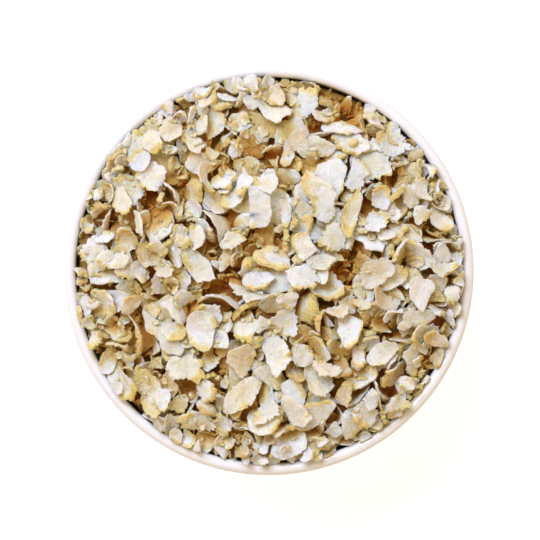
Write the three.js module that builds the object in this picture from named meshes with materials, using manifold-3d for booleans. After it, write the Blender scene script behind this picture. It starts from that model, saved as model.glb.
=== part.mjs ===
// A small pinch bowl heaped to the brim with quinoa flakes, in millimetres, +Z up.
// The origin is in the middle of the foot, on the surface that the bowl stands on.
//
// The bowl is one turned piece of porcelain: a foot ring, a round wall and a soft lip. The flakes are one
// heap: a core that fills the bowl, with the flakes that show fused onto it. Each flake is a rolled grain,
// a thin curled plate that rests on the ones under it.

import * as THREE from "three";
import { mergeVertices } from "three/addons/utils/BufferGeometryUtils.js";
import Module from "manifold-3d";

// ---- driving dimensions ----
const FLAKE_CIRCLE = 48; // across the flakes, where they meet the wall under the lip
const BOWL_HEIGHT = 24;
const WALL = 1.5; // at the lip, which is a half round of this width
const BASE = 2.4; // thickness of the bowl's floor in the middle
const FOOT_RISE = 2.2; // from the table up to the bowl's underside in the middle
const FOOT_DIAMETER = 25;
const FOOT_WIDTH = 2; // of the ring that touches the table
const FOOT_ROUND = 0.4; // chamfer of its edges
const FOOT_COVE = 0.5; // how far in from the ring the underside starts to turn down into it
const FULLNESS = 2.5; // exponent of the wall's curve: 2 is an ellipse, more is squarer
const TURNS = 48; // facets round everything turned

const GAP = 0.3; // between the heap and the bowl
const CORE_AT_WALL = 1.8; // how far the core's edge lies under the lip
const CORE_CROWN = 4.2; // how much higher the core is in the middle than at its edge
const CORE_ROUND = 0.8; // radius of the core's edge

const FLAKE_RADIUS_LEAST = 1.35;
const FLAKE_RADIUS_MOST = 2.6;
const FLAKE_THICKNESS = 0.34;
const FLAKE_CORNERS = 7;
const FLAKE_STRETCH = 1.3; // most that a flake is drawn out one way, and in the other
const CORNER_NEAREST = 0.86; // where a corner may lie, as shares of the radius
const CORNER_FARTHEST = 1.08;
const CORNER_SHIFT = 0.22; // most that a corner is turned off its even place, in corners
const BROKEN_SHARE = 0.35; // of the flakes have lost a corner
const BROKEN_REACH = 0.6; // how far out that corner still lies, as a share
const INNER_SHARE = 0.5; // where a flake is also held up, half way out
const FLAKE_CURL = 0.45; // most height that a flake's edges stand over its middle
const FLAKE_SPACING = 3.35; // between neighbours in a ring, and between rings
const SPACING_SHIFT = 0.2; // most that a flake is moved along its ring, in spaces
const RING_SHIFT = 0.6; // and off its ring
const SMALL_OFTEN = 1.4; // exponent over 1 that makes the smaller flakes the commoner
const STEEPEST_REST = 0.9; // slope up to which resting planes are tried
const SLOPES_TRIED = 6; // to each side of level
const SUNK = 0.16; // how far a flake's touching points sink into what is under it
const LEAN = 0.8; // most extra slope of a flake, over the slope on which it would rest
const EDGE_ON_SHARE = 0.12; // of the flakes stand on edge between the others
const EDGE_ON_LEAN = 1.9; // slope of those
const EDGE_ON_SINK = 0.75; // share of its radius that such a flake slips in between the others
const WALL_CLEARANCE = 0.05; // of a flake, beyond the gap
const SEED = 20;

// ---- the wall's curves ----
const lipRadius = WALL / 2;
const innerRadius = FLAKE_CIRCLE / 2;
const outerRadius = innerRadius + WALL;
const shoulder = BOWL_HEIGHT - lipRadius; // height where the wall meets the lip
const underside = FOOT_RISE;
const floor = FOOT_RISE + BASE;
const footOuter = FOOT_DIAMETER / 2;
const footInner = footOuter - FOOT_WIDTH;
const heapRadius = innerRadius - GAP;

// Height of a bowl curve of that top radius and lowest point, at radius r.
function curveHeight(r, top, lowest) {
  const share = Math.min(1, r / top) ** FULLNESS;
  return shoulder - (shoulder - lowest) * (1 - share) ** (1 / FULLNESS);
}

// Radius of the same curve at height z.
function curveRadius(z, top, lowest) {
  const share = Math.min(1, Math.max(0, (shoulder - z) / (shoulder - lowest))) ** FULLNESS;
  return top * (1 - share) ** (1 / FULLNESS);
}

// Points of a bowl curve from the radius `from` out to its top, closer together where it turns up.
function curvePoints(from, top, lowest, count) {
  const start = Math.asin(from / top);
  return Array.from({ length: count + 1 }, (_, i) => {
    const r = top * Math.sin(start + ((Math.PI / 2 - start) * i) / count);
    return new THREE.Vector2(r, curveHeight(r, top, lowest));
  });
}

function arcPoints(cx, cy, radius, from, to, count) {
  return Array.from({ length: count + 1 }, (_, i) => {
    const a = from + ((to - from) * i) / count;
    return new THREE.Vector2(cx + radius * Math.cos(a), cy + radius * Math.sin(a));
  });
}

// A turned solid about Z, from a profile of (radius, height) that runs from the axis out and back to it.
function turned(profile) {
  return new THREE.LatheGeometry(profile, TURNS).rotateX(Math.PI / 2);
}

// ---- seeded random numbers ----
function randomSource(seed) {
  let state = seed >>> 0;
  return () => {
    state = (state + 0x6d2b79f5) >>> 0;
    let t = state;
    t = Math.imul(t ^ (t >>> 15), t | 1);
    t ^= t + Math.imul(t ^ (t >>> 7), t | 61);
    return ((t ^ (t >>> 14)) >>> 0) / 4294967296;
  };
}
const random = randomSource(SEED);
const between = (low, high) => low + (high - low) * random();

// ---- solids ----
const wasm = await Module();
wasm.setup();

function solidOf(geometry) {
  const bare = geometry.index ? geometry.toNonIndexed() : geometry.clone();
  for (const name of Object.keys(bare.attributes)) {
    if (name !== "position") bare.deleteAttribute(name);
  }
  const merged = mergeVertices(bare, 1e-4);
  return new wasm.Manifold(
    new wasm.Mesh({
      numProp: 3,
      vertProperties: merged.attributes.position.array,
      triVerts: new Uint32Array(merged.index.array),
    }),
  );
}

function geometryOf(solid) {
  const mesh = solid.getMesh();
  const positions = new Float32Array(mesh.numVert * 3);
  for (let i = 0; i < mesh.numVert; i++) {
    positions.set(mesh.vertProperties.subarray(i * mesh.numProp, i * mesh.numProp + 3), i * 3);
  }
  const geometry = new THREE.BufferGeometry();
  geometry.setAttribute("position", new THREE.BufferAttribute(positions, 3));
  geometry.setIndex(new THREE.BufferAttribute(new Uint32Array(mesh.triVerts), 1));
  geometry.computeVertexNormals();
  return geometry;
}

// ---- bowl ----
function bowlGeometry() {
  const outside = curvePoints(footOuter, outerRadius, underside, 8);
  const inside = curvePoints(0, innerRadius, floor, 9).reverse();
  const under = curvePoints(0, outerRadius, underside, 14).filter((p) => p.x < footInner - 2 * FOOT_COVE);
  const lip = arcPoints(innerRadius + lipRadius, shoulder, lipRadius, 0, Math.PI, 6).slice(1, -1);
  const footTop = curveHeight(footInner, outerRadius, underside);
  return turned([
    ...under,
    new THREE.Vector2(footInner - FOOT_COVE, footTop),
    new THREE.Vector2(footInner, FOOT_ROUND),
    new THREE.Vector2(footInner + FOOT_ROUND, 0),
    new THREE.Vector2(footOuter - FOOT_ROUND, 0),
    new THREE.Vector2(footOuter, FOOT_ROUND),
    ...outside,
    ...lip,
    ...inside,
  ]);
}

// ---- flakes ----
const coreEdge = BOWL_HEIGHT - CORE_AT_WALL;
const CORE_RINGS = 4; // of faces on the core's top

// Height of the core's top at radius r.
function coreHeight(r) {
  return coreEdge + CORE_CROWN * (1 - (r / heapRadius) ** 2);
}

function coreGeometry() {
  const sideTop = coreEdge - CORE_ROUND;
  const side = curvePoints(0, heapRadius, floor + GAP, 8).filter((p) => p.y < sideTop - CORE_ROUND);
  const edgeRadius = curveRadius(sideTop, heapRadius, floor + GAP);
  const rim = new THREE.Vector2(edgeRadius, sideTop);
  const top = Array.from({ length: CORE_RINGS }, (_, i) => {
    const r = (edgeRadius - CORE_ROUND) * (1 - i / CORE_RINGS);
    return new THREE.Vector2(r, coreHeight(r));
  });
  return turned([...side, rim, ...top, new THREE.Vector2(0, coreHeight(0))]);
}

// The heap's surface so far, as heights on a square grid, which each flake raises where it lies.
const CELL = 0.25;
const gridSide = Math.ceil((2 * innerRadius) / CELL) + 1;
const gridIndex = (v) => Math.min(gridSide - 1, Math.max(0, Math.round((v + innerRadius) / CELL)));
const ground = new Float64Array(gridSide * gridSide);
for (let j = 0; j < gridSide; j++) {
  for (let i = 0; i < gridSide; i++) {
    const r = Math.hypot(i * CELL - innerRadius, j * CELL - innerRadius);
    ground[j * gridSide + i] = coreHeight(Math.min(r, heapRadius));
  }
}
const groundAt = (x, y) => ground[gridIndex(y) * gridSide + gridIndex(x)];

// A flake's outline: a round or broken plate whose corners lie at uneven distances.
function flakeOutline(radius) {
  const stretch = between(1, FLAKE_STRETCH);
  const broken = random() < BROKEN_SHARE ? Math.floor(random() * FLAKE_CORNERS) : -1;
  const turn = random() * Math.PI * 2;
  return Array.from({ length: FLAKE_CORNERS }, (_, i) => {
    const a = ((i + between(-CORNER_SHIFT, CORNER_SHIFT)) / FLAKE_CORNERS) * Math.PI * 2;
    const whole = radius * between(CORNER_NEAREST, CORNER_FARTHEST);
    const reach = i === broken ? whole * BROKEN_REACH : whole;
    const u = reach * Math.cos(a) * stretch;
    const v = (reach * Math.sin(a)) / stretch;
    return [u * Math.cos(turn) - v * Math.sin(turn), u * Math.sin(turn) + v * Math.cos(turn)];
  });
}

// The slope on which a plate with these points under it would rest, and the height of its middle there.
function restingPlane(x, y, points) {
  let best = { height: Infinity, slopeX: 0, slopeY: 0 };
  const heights = points.map(([u, v]) => groundAt(x + u, y + v));
  const raised = (slopeX, slopeY) =>
    Math.max(...points.map(([u, v], i) => heights[i] - slopeX * u - slopeY * v));
  for (let i = -SLOPES_TRIED; i <= SLOPES_TRIED; i++) {
    for (let j = -SLOPES_TRIED; j <= SLOPES_TRIED; j++) {
      const slopeX = (i / SLOPES_TRIED) * STEEPEST_REST;
      const slopeY = (j / SLOPES_TRIED) * STEEPEST_REST;
      const height = raised(slopeX, slopeY);
      if (height < best.height) best = { height, slopeX, slopeY };
    }
  }
  return { ...best, raised };
}

// One flake at (x, y), as a closed solid of a curled plate, with few faces. It raises the ground.
function flakeAt(x, y, radius, edgeOn) {
  const outline = flakeOutline(radius);
  const inner = outline.map(([u, v]) => [u * INNER_SHARE, v * INNER_SHARE]);
  const rest = restingPlane(x, y, [[0, 0], ...inner, ...outline]);
  const heading = random() * Math.PI * 2;
  const lean = edgeOn ? EDGE_ON_LEAN : LEAN * random();
  const slopeX = rest.slopeX + lean * Math.cos(heading);
  const slopeY = rest.slopeY + lean * Math.sin(heading);
  const normal = new THREE.Vector3(-slopeX, -slopeY, 1).normalize();
  const turn = new THREE.Quaternion().setFromUnitVectors(new THREE.Vector3(0, 0, 1), normal);
  const curlWay = random() * Math.PI;
  const curl = (FLAKE_CURL * between(-0.4, 1)) / (radius * radius);
  const bend = ([u, v]) => curl * (u * Math.cos(curlWay) + v * Math.sin(curlWay)) ** 2;
  const placed = ([u, v], w) => new THREE.Vector3(u, v, w + bend([u, v])).applyQuaternion(turn);
  const bottom = outline.map((p) => placed(p, -FLAKE_THICKNESS / 2));
  const top = outline.map((p) => placed(p, FLAKE_THICKNESS / 2));
  const bottomMiddle = placed([0, 0], -FLAKE_THICKNESS / 2);
  const topMiddle = placed([0, 0], FLAKE_THICKNESS / 2);

  // Its lowest points reach the ground, and it moves in until it is clear of the wall.
  let lift = -Infinity;
  for (const p of [...bottom, bottomMiddle]) lift = Math.max(lift, groundAt(x + p.x, y + p.y) - p.z);
  if (edgeOn) lift -= radius * EDGE_ON_SINK;
  const at = new THREE.Vector3(x, y, lift - SUNK);
  for (const p of [...bottom, ...top]) {
    const wall = curveRadius(at.z + p.z, heapRadius, floor + GAP) - WALL_CLEARANCE;
    const away = Math.hypot(at.x + p.x, at.y + p.y);
    if (away > wall) {
      at.x -= ((at.x + p.x) / away) * (away - wall);
      at.y -= ((at.y + p.y) / away) * (away - wall);
    }
  }

  const points = [...bottom, bottomMiddle, ...top, topMiddle].map((p) => p.clone().add(at));
  const n = FLAKE_CORNERS;
  const faces = [];
  for (let i = 0; i < n; i++) {
    const j = (i + 1) % n;
    faces.push(n, j, i);
    faces.push(2 * n + 1, n + 1 + i, n + 1 + j);
    faces.push(i, j, n + 1 + j, i, n + 1 + j, n + 1 + i);
  }
  raiseGround(points.slice(n + 1));
  const geometry = new THREE.BufferGeometry();
  const positions = new Float32Array(points.flatMap((p) => [p.x, p.y, p.z]));
  geometry.setAttribute("position", new THREE.BufferAttribute(positions, 3));
  geometry.setIndex(faces);
  return geometry;
}

// Raises the ground to a flake's top: its corners in order, then its middle.
function raiseGround(topPoints) {
  const middle = topPoints[topPoints.length - 1];
  const corners = topPoints.slice(0, -1);
  corners.forEach((a, k) => {
    const b = corners[(k + 1) % corners.length];
    const area = (a.x - middle.x) * (b.y - middle.y) - (b.x - middle.x) * (a.y - middle.y);
    if (Math.abs(area) < 1e-6) return;
    const lowX = gridIndex(Math.min(a.x, b.x, middle.x));
    const highX = gridIndex(Math.max(a.x, b.x, middle.x));
    const lowY = gridIndex(Math.min(a.y, b.y, middle.y));
    const highY = gridIndex(Math.max(a.y, b.y, middle.y));
    for (let j = lowY; j <= highY; j++) {
      for (let i = lowX; i <= highX; i++) {
        const x = i * CELL - innerRadius;
        const y = j * CELL - innerRadius;
        const s = ((x - middle.x) * (b.y - middle.y) - (b.x - middle.x) * (y - middle.y)) / area;
        const t = ((a.x - middle.x) * (y - middle.y) - (x - middle.x) * (a.y - middle.y)) / area;
        if (s < 0 || t < 0 || s + t > 1) continue;
        const z = middle.z + s * (a.z - middle.z) + t * (b.z - middle.z);
        ground[j * gridSide + i] = Math.max(ground[j * gridSide + i], z);
      }
    }
  });
}

// Places for the flakes, in uneven rings from the wall inwards, so that they fill the bowl to its wall.
function flakePlaces() {
  const places = [];
  for (let ring = heapRadius - FLAKE_RADIUS_LEAST; ring > 0; ring -= FLAKE_SPACING) {
    const count = Math.max(1, Math.round((2 * Math.PI * ring) / FLAKE_SPACING));
    const start = random();
    for (let i = 0; i < count; i++) {
      const a = ((i + start + between(-SPACING_SHIFT, SPACING_SHIFT)) / count) * 2 * Math.PI;
      const r = ring + between(-RING_SHIFT, RING_SHIFT);
      places.push({ x: r * Math.cos(a), y: r * Math.sin(a), order: random() });
    }
  }
  return places.sort((a, b) => a.order - b.order);
}

function heapGeometry() {
  const places = flakePlaces();
  const flakes = places.map(({ x, y }, i) => {
    const edgeOn = i > places.length * (1 - EDGE_ON_SHARE);
    const large = random() ** SMALL_OFTEN;
    const radius = FLAKE_RADIUS_LEAST + (FLAKE_RADIUS_MOST - FLAKE_RADIUS_LEAST) * large;
    return solidOf(flakeAt(x, y, radius, edgeOn));
  });
  const joined = wasm.Manifold.union([solidOf(coreGeometry()), ...flakes]);
  const bodies = joined.decompose().sort((a, b) => b.volume() - a.volume());
  return geometryOf(bodies[0]);
}

// ---- the part ----
const porcelain = new THREE.MeshStandardMaterial({ color: 0xf3f2ee, roughness: 0.2, metalness: 0 });
const flakedQuinoa = new THREE.MeshStandardMaterial({ color: 0xe6dcc3, roughness: 0.85, metalness: 0 });

const bowl = new THREE.Mesh(bowlGeometry(), porcelain);
bowl.name = "bowl";

const flakes = new THREE.Mesh(heapGeometry(), flakedQuinoa);
flakes.name = "quinoa_flakes";

const part = new THREE.Group();
part.add(bowl, flakes);

export default part;
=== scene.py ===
"""A small porcelain pinch bowl heaped to the brim with quinoa flakes, dressed over its fixed frame."""

import math
import random
from types import SimpleNamespace

import bmesh
import bpy
import numpy as np
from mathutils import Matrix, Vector, noise
from mathutils.bvhtree import BVHTree


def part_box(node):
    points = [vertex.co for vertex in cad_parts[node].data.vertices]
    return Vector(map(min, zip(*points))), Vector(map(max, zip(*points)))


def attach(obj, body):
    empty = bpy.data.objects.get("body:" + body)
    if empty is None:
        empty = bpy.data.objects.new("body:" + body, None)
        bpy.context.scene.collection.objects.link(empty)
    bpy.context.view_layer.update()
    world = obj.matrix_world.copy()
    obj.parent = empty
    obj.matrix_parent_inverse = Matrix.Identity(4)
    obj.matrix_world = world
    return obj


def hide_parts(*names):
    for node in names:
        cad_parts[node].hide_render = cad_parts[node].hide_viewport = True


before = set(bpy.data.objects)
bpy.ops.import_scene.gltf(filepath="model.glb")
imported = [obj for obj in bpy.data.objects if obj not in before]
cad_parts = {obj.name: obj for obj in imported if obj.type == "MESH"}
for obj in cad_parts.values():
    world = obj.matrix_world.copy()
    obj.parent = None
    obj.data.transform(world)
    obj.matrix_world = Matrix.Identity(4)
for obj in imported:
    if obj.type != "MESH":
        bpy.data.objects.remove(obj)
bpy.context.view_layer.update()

# ---------------------------------------------------------------------------------------------------------
# Studio: a white sheet of card under the bowl, and a camera that looks straight down into it, so that the
# mouth is a true circle. A cool soft box stands at the upper left, a weak warm one low across from it, and
# the room's warm light fills in and tints the shadows.
MM = 0.001
PHOTO_SIDE = 540  # pixels, and the next three are pixels of that frame too
CIRCLE_RADIUS = 193.5
CIRCLE_X = 268.8
CIRCLE_Y = 270.1

_, bowl_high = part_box("bowl")
BOWL_HEIGHT = bowl_high.z
WALL = 1.5 * MM
OUTER_RADIUS = bowl_high.x
INNER_RADIUS = OUTER_RADIUS - WALL

CAMERA_ABOVE_LIP = 0.4
SENSOR = 36.0
pixel = INNER_RADIUS / CIRCLE_RADIUS

camera = bpy.data.objects.new("camera", bpy.data.cameras.new("camera"))
camera.data.sensor_width = SENSOR
camera.data.lens = SENSOR * CAMERA_ABOVE_LIP / (PHOTO_SIDE * pixel)
camera.data.clip_start = 0.01
camera.data.clip_end = 10.0
camera.location = (
    (PHOTO_SIDE / 2 - CIRCLE_X) * pixel,
    (CIRCLE_Y - PHOTO_SIDE / 2) * pixel,
    BOWL_HEIGHT + CAMERA_ABOVE_LIP,
)
bpy.context.scene.collection.objects.link(camera)
bpy.context.scene.camera = camera
bpy.context.scene.view_settings.view_transform = "Standard"


def linear(colour):
    """An sRGB hex colour as the linear RGBA that sockets take."""
    shares = [int(colour[i : i + 2], 16) / 255 for i in (1, 3, 5)]
    return (*[s / 12.92 if s <= 0.04045 else ((s + 0.055) / 1.055) ** 2.4 for s in shares], 1.0)


def soft_box(name, azimuth, elevation, away, side, power, colour):
    """A square lamp that faces the heap, at that azimuth from +X and elevation in degrees."""
    lamp = bpy.data.objects.new(name, bpy.data.lights.new(name, "AREA"))
    lamp.data.size = side
    lamp.data.energy = power
    lamp.data.color = linear(colour)[:3]
    a = math.radians(azimuth)
    e = math.radians(elevation)
    out = Vector((math.cos(a) * math.cos(e), math.sin(a) * math.cos(e), math.sin(e)))
    lamp.location = Vector((0, 0, BOWL_HEIGHT)) + out * away
    lamp.rotation_euler = out.to_track_quat("Z", "Y").to_euler()
    bpy.context.scene.collection.objects.link(lamp)


soft_box("key_light", azimuth=122, elevation=54, away=0.6, side=0.32, power=3.65, colour="#dee8ff")
soft_box("low_fill", azimuth=-50, elevation=30, away=0.8, side=0.5, power=0.5, colour="#fff0dc")

world = bpy.data.worlds.new("pale_room")
world.use_nodes = True
world.node_tree.nodes["Background"].inputs["Color"].default_value = linear("#ffd89b")
world.node_tree.nodes["Background"].inputs["Strength"].default_value = 0.64
bpy.context.scene.world = world


def node(tree, kind, sockets=None, **settings):
    """Adds a node with its own settings, and its sockets' values or the outputs that they are linked to."""
    made = tree.nodes.new("ShaderNode" + kind)
    for name, value in settings.items():
        setattr(made, name, value)
    for name, value in (sockets or {}).items():
        if isinstance(value, bpy.types.NodeSocket):
            tree.links.new(value, made.inputs[name])
        else:
            made.inputs[name].default_value = value
    return made


def new_finish(name):
    """A material with its node tree and its one shader."""
    material = bpy.data.materials.new(name)
    material.use_nodes = True
    return material, material.node_tree, material.node_tree.nodes["Principled BSDF"]


def new_piece(name, form, finish, smooth=True):
    """An object at the origin from a finished bmesh."""
    mesh = bpy.data.meshes.new(name)
    form.to_mesh(mesh)
    form.free()
    mesh.polygons.foreach_set("use_smooth", [smooth] * len(mesh.polygons))
    mesh.materials.append(finish)
    piece = bpy.data.objects.new(name, mesh)
    bpy.context.scene.collection.objects.link(piece)
    return piece


# The card is lit up to pure white, which would drown the bowl in light from below. So its own light stays
# off the bowl, and a pale table top just under it, which only lights, gives back what a table would.
CARD_HALF = 2.0
card_finish, _, shader = new_finish("white_card")
shader.inputs["Base Color"].default_value = linear("#f7f7f6")
shader.inputs["Roughness"].default_value = 0.9
shader.inputs["Emission Color"].default_value = linear("#ebf2ff")
shader.inputs["Emission Strength"].default_value = 0.7
form = bmesh.new()
bmesh.ops.create_grid(form, x_segments=1, y_segments=1, size=CARD_HALF)
card = new_piece("card", form, card_finish)
card.visible_diffuse = False
card.visible_shadow = False

TABLE_BELOW = 1 * MM
table_finish, _, shader = new_finish("grey_table")
shader.inputs["Base Color"].default_value = linear("#c2c6ce")
shader.inputs["Roughness"].default_value = 0.9
form = bmesh.new()
bmesh.ops.create_grid(form, x_segments=1, y_segments=1, size=CARD_HALF)
bmesh.ops.translate(form, vec=(0, 0, -TABLE_BELOW), verts=form.verts)
table = new_piece("table_top", form, table_finish)
table.visible_camera = False
table.visible_glossy = False

# ---------------------------------------------------------------------------------------------------------
# Bowl: a pinch bowl of hard white porcelain, jiggered in one piece with its foot ring and dipped in clear
# glaze. The ring that touches the table is wiped bare of glaze before firing, so it stays dull and creamy.
BASE = 2.4 * MM
FOOT_RISE = 2.2 * MM
FOOT_RADIUS = 12.5 * MM
FOOT_WIDTH = 2.0 * MM
FULLNESS = 2.5  # exponent of the wall's curve: 2 is an ellipse, more is squarer
LIP_RADIUS = WALL / 2
SHOULDER = BOWL_HEIGHT - LIP_RADIUS  # height where the wall meets the lip
FLOOR = FOOT_RISE + BASE
BOWL_TURNS = 144
BELLY_STEPS = 40
OUTSIDE_STEPS = 34
INSIDE_STEPS = 36
LIP_STEPS = 14
ROUND_STEPS = 5
FOOT_ROUND = 0.45 * MM  # radius of the foot ring's edges
UNDER_ROUND = 0.8 * MM  # and of the corner between the ring's inside and the belly


def wall_height(r, top, lowest):
    """Height at radius r of the bowl curve with that top radius and lowest point."""
    return SHOULDER - (SHOULDER - lowest) * (1 - min(1, r / top) ** FULLNESS) ** (1 / FULLNESS)


def wall_radius(z, top, lowest):
    """Radius of the same curve at height z."""
    share = min(1, max(0, (SHOULDER - z) / (SHOULDER - lowest)))
    return top * (1 - share**FULLNESS) ** (1 / FULLNESS)


def wall_points(start, top, lowest, count):
    """Points (radius, height) of a bowl curve from radius start to its top, closer where it turns up."""
    first = math.asin(start / top)
    turns = [first + (math.pi / 2 - first) * i / count for i in range(count + 1)]
    return [(top * math.sin(t), wall_height(top * math.sin(t), top, lowest)) for t in turns]


def arc_points(r, z, radius, start, end, count):
    """Points of an arc in the profile, between two angles in degrees."""
    turns = [math.radians(start + (end - start) * i / count) for i in range(count + 1)]
    return [(r + radius * math.cos(t), z + radius * math.sin(t)) for t in turns]


def in_order(form):
    """Numbers corners and faces by where they lie. Spins and extrusions list them in another order every
    time, and what is drawn at random for each corner must fall on the same one in every run."""

    def place_of(part):
        at = part.co if isinstance(part, bmesh.types.BMVert) else part.calc_center_median()
        turn = math.atan2(at.y, at.x) % (2 * math.pi)
        return round(at.z, 6), round(math.hypot(at.x, at.y), 6), round(turn, 4)

    for parts in (form.verts, form.faces):
        rank = {part: number for number, part in enumerate(sorted(parts, key=place_of))}
        parts.sort(key=rank.get)
        parts.index_update()


def spun(profile, turns, merged):
    """A profile turned about Z, with corners nearer than merged made one."""
    form = bmesh.new()
    corners = [form.verts.new((r, 0, z)) for r, z in profile]
    edges = [form.edges.new(pair) for pair in zip(corners, corners[1:])]
    bmesh.ops.spin(
        form, geom=corners + edges, cent=(0, 0, 0), axis=(0, 0, 1),
        angle=2 * math.pi, steps=turns, use_merge=True,
    )
    bmesh.ops.remove_doubles(form, verts=form.verts, dist=merged)
    return form


def turned(profile, turns):
    """A closed bmesh turned about Z from a profile that starts and ends on the axis."""
    form = spun(profile, turns, 1e-6)
    bmesh.ops.recalc_face_normals(form, faces=form.faces)
    in_order(form)
    return form


foot_inner = FOOT_RADIUS - FOOT_WIDTH
belly_to = foot_inner - UNDER_ROUND
foot_top = wall_height(belly_to, OUTER_RADIUS, FOOT_RISE)
profile = [
    *[p for p in wall_points(0, OUTER_RADIUS, FOOT_RISE, BELLY_STEPS) if p[0] < belly_to],
    *arc_points(belly_to, foot_top - UNDER_ROUND, UNDER_ROUND, 90, 0, ROUND_STEPS),
    *arc_points(foot_inner + FOOT_ROUND, FOOT_ROUND, FOOT_ROUND, 180, 270, ROUND_STEPS),
    *arc_points(FOOT_RADIUS - FOOT_ROUND, FOOT_ROUND, FOOT_ROUND, 270, 360, ROUND_STEPS),
    *wall_points(FOOT_RADIUS, OUTER_RADIUS, FOOT_RISE, OUTSIDE_STEPS),
    *arc_points(INNER_RADIUS + LIP_RADIUS, SHOULDER, LIP_RADIUS, 0, 180, LIP_STEPS)[1:-1],
    *wall_points(0, INNER_RADIUS, FLOOR, INSIDE_STEPS)[::-1],
]

# Glazed porcelain: a clear gloss over a cool white body, with waves in the glaze some 7 mm long that bend
# reflections a little, and a bare foot ring that is dull and creamy.
BODY_WHITE = "#ecf3ff"
BARE_BISQUE = "#e3d8c4"
GLAZE_WAVE = 7 * MM
GLAZE_WAVE_DEPTH = 0.05 * MM
BISQUE_GRIT = 0.25 * MM
BISQUE_GRIT_DEPTH = 0.03 * MM
BARE_BELOW = 0.5 * MM  # where the glaze begins to end
WHOLLY_BARE = 0.7  # and where it has ended, as a share of that height

porcelain, tree, shader = new_finish("glazed_porcelain")
place = node(tree, "TexCoord").outputs["Object"]
height = node(tree, "SeparateXYZ", {0: place}).outputs["Z"]
bare = node(tree, "MapRange", {
    "Value": height, "From Min": BARE_BELOW, "From Max": BARE_BELOW * WHOLLY_BARE, "To Min": 0, "To Max": 1,
}).outputs["Result"]
waves = node(tree, "TexNoise", {"Vector": place, "Scale": 1 / GLAZE_WAVE, "Detail": 1.0}).outputs["Fac"]
grit = node(tree, "TexNoise", {"Vector": place, "Scale": 1 / BISQUE_GRIT, "Detail": 2.0}).outputs["Fac"]
glaze_bump = node(tree, "Bump", {
    "Height": waves, "Distance": GLAZE_WAVE_DEPTH, "Strength": 0.5,
}).outputs["Normal"]
bisque_bump = node(tree, "Bump", {
    "Height": grit, "Distance": BISQUE_GRIT_DEPTH, "Strength": bare, "Normal": glaze_bump,
}).outputs["Normal"]
tint = node(tree, "Mix", {
    0: bare, 6: linear(BODY_WHITE), 7: linear(BARE_BISQUE),
}, data_type="RGBA").outputs[2]
dullness = node(tree, "MapRange", {"Value": bare, "To Min": 0.12, "To Max": 0.8}).outputs["Result"]
tree.links.new(tint, shader.inputs["Base Color"])
tree.links.new(dullness, shader.inputs["Roughness"])
tree.links.new(bisque_bump, shader.inputs["Normal"])
shader.inputs["IOR"].default_value = 1.52
shader.inputs["Subsurface Weight"].default_value = 0.1
shader.inputs["Subsurface Radius"].default_value = (1.0, 0.85, 0.7)
shader.inputs["Subsurface Scale"].default_value = 0.6 * MM

bowl = new_piece("porcelain_bowl", turned(profile, BOWL_TURNS), porcelain)
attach(bowl, "root")
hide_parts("bowl")

# ---------------------------------------------------------------------------------------------------------
# Bed of flakes: what lies packed under the loose flakes and shows only down the gaps between them. It is
# the same rolled grain pressed into crumbs, a rough crust whose warm browns are painted shade for the depths.
BED_GAP = 0.3 * MM  # between the bed and the bowl
BED_EDGE = 22.2 * MM  # height of its top where it meets the wall
BED_CROWN = 2.5 * MM  # how much higher it is in the middle
BED_RADIUS = INNER_RADIUS - BED_GAP
BED_TURNS = 200
BED_RINGS = 42
BED_SIDE_STEPS = 14
BED_RIM_DROP = 0.5 * MM  # from its top at the wall down to where its side begins
BED_RIM_IN = 0.4 * MM  # and from there in to its top
BED_CALM = 0.6 * MM  # how near the rim its corners stay smooth
BED_LUMP = 0.9 * MM
BED_ROUGHNESS = 0.35 * MM
BED_SWELL = 2.0 * MM  # its hills and hollows, which tilt the flakes that lie on them
BED_SWELL_WIDTH = 5.5 * MM
BED_LEVEL_EDGE = 3 * MM  # how far from the wall they fade out


def bed_height(r):
    """Height of the smooth top of the bed at radius r, in metres."""
    return BED_EDGE + BED_CROWN * (1 - (r / BED_RADIUS) ** 2)


def bed_swell(x, y):
    """How far the bed rises or dips at a place, all in metres."""
    fade = min(1, max(0, (BED_RADIUS - math.hypot(x, y)) / BED_LEVEL_EDGE))
    return fade * BED_SWELL * noise.noise(Vector((x, y, 0)) / BED_SWELL_WIDTH)


bed_side = wall_points(0, BED_RADIUS, FLOOR + BED_GAP, BED_SIDE_STEPS)
bed_side = [p for p in bed_side if p[1] < BED_EDGE - 2 * BED_RIM_DROP]
bed_rim = wall_radius(BED_EDGE - BED_RIM_DROP, BED_RADIUS, FLOOR + BED_GAP)
bed_top = [(bed_rim - BED_RIM_IN) * (1 - i / BED_RINGS) for i in range(BED_RINGS + 1)]
bed_top = [(r, bed_height(r)) for r in bed_top]
form = turned([*bed_side, (bed_rim, BED_EDGE - BED_RIM_DROP), *bed_top], BED_TURNS)
for corner in form.verts:
    if corner.co.z > BED_EDGE - BED_CALM and math.hypot(corner.co.x, corner.co.y) < bed_rim - BED_CALM:
        corner.co.z += bed_swell(corner.co.x, corner.co.y)
        corner.co.z += BED_ROUGHNESS * noise.noise(corner.co / BED_LUMP)
        corner.co.z += 0.5 * BED_ROUGHNESS * noise.noise(corner.co / (0.4 * BED_LUMP))
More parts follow.
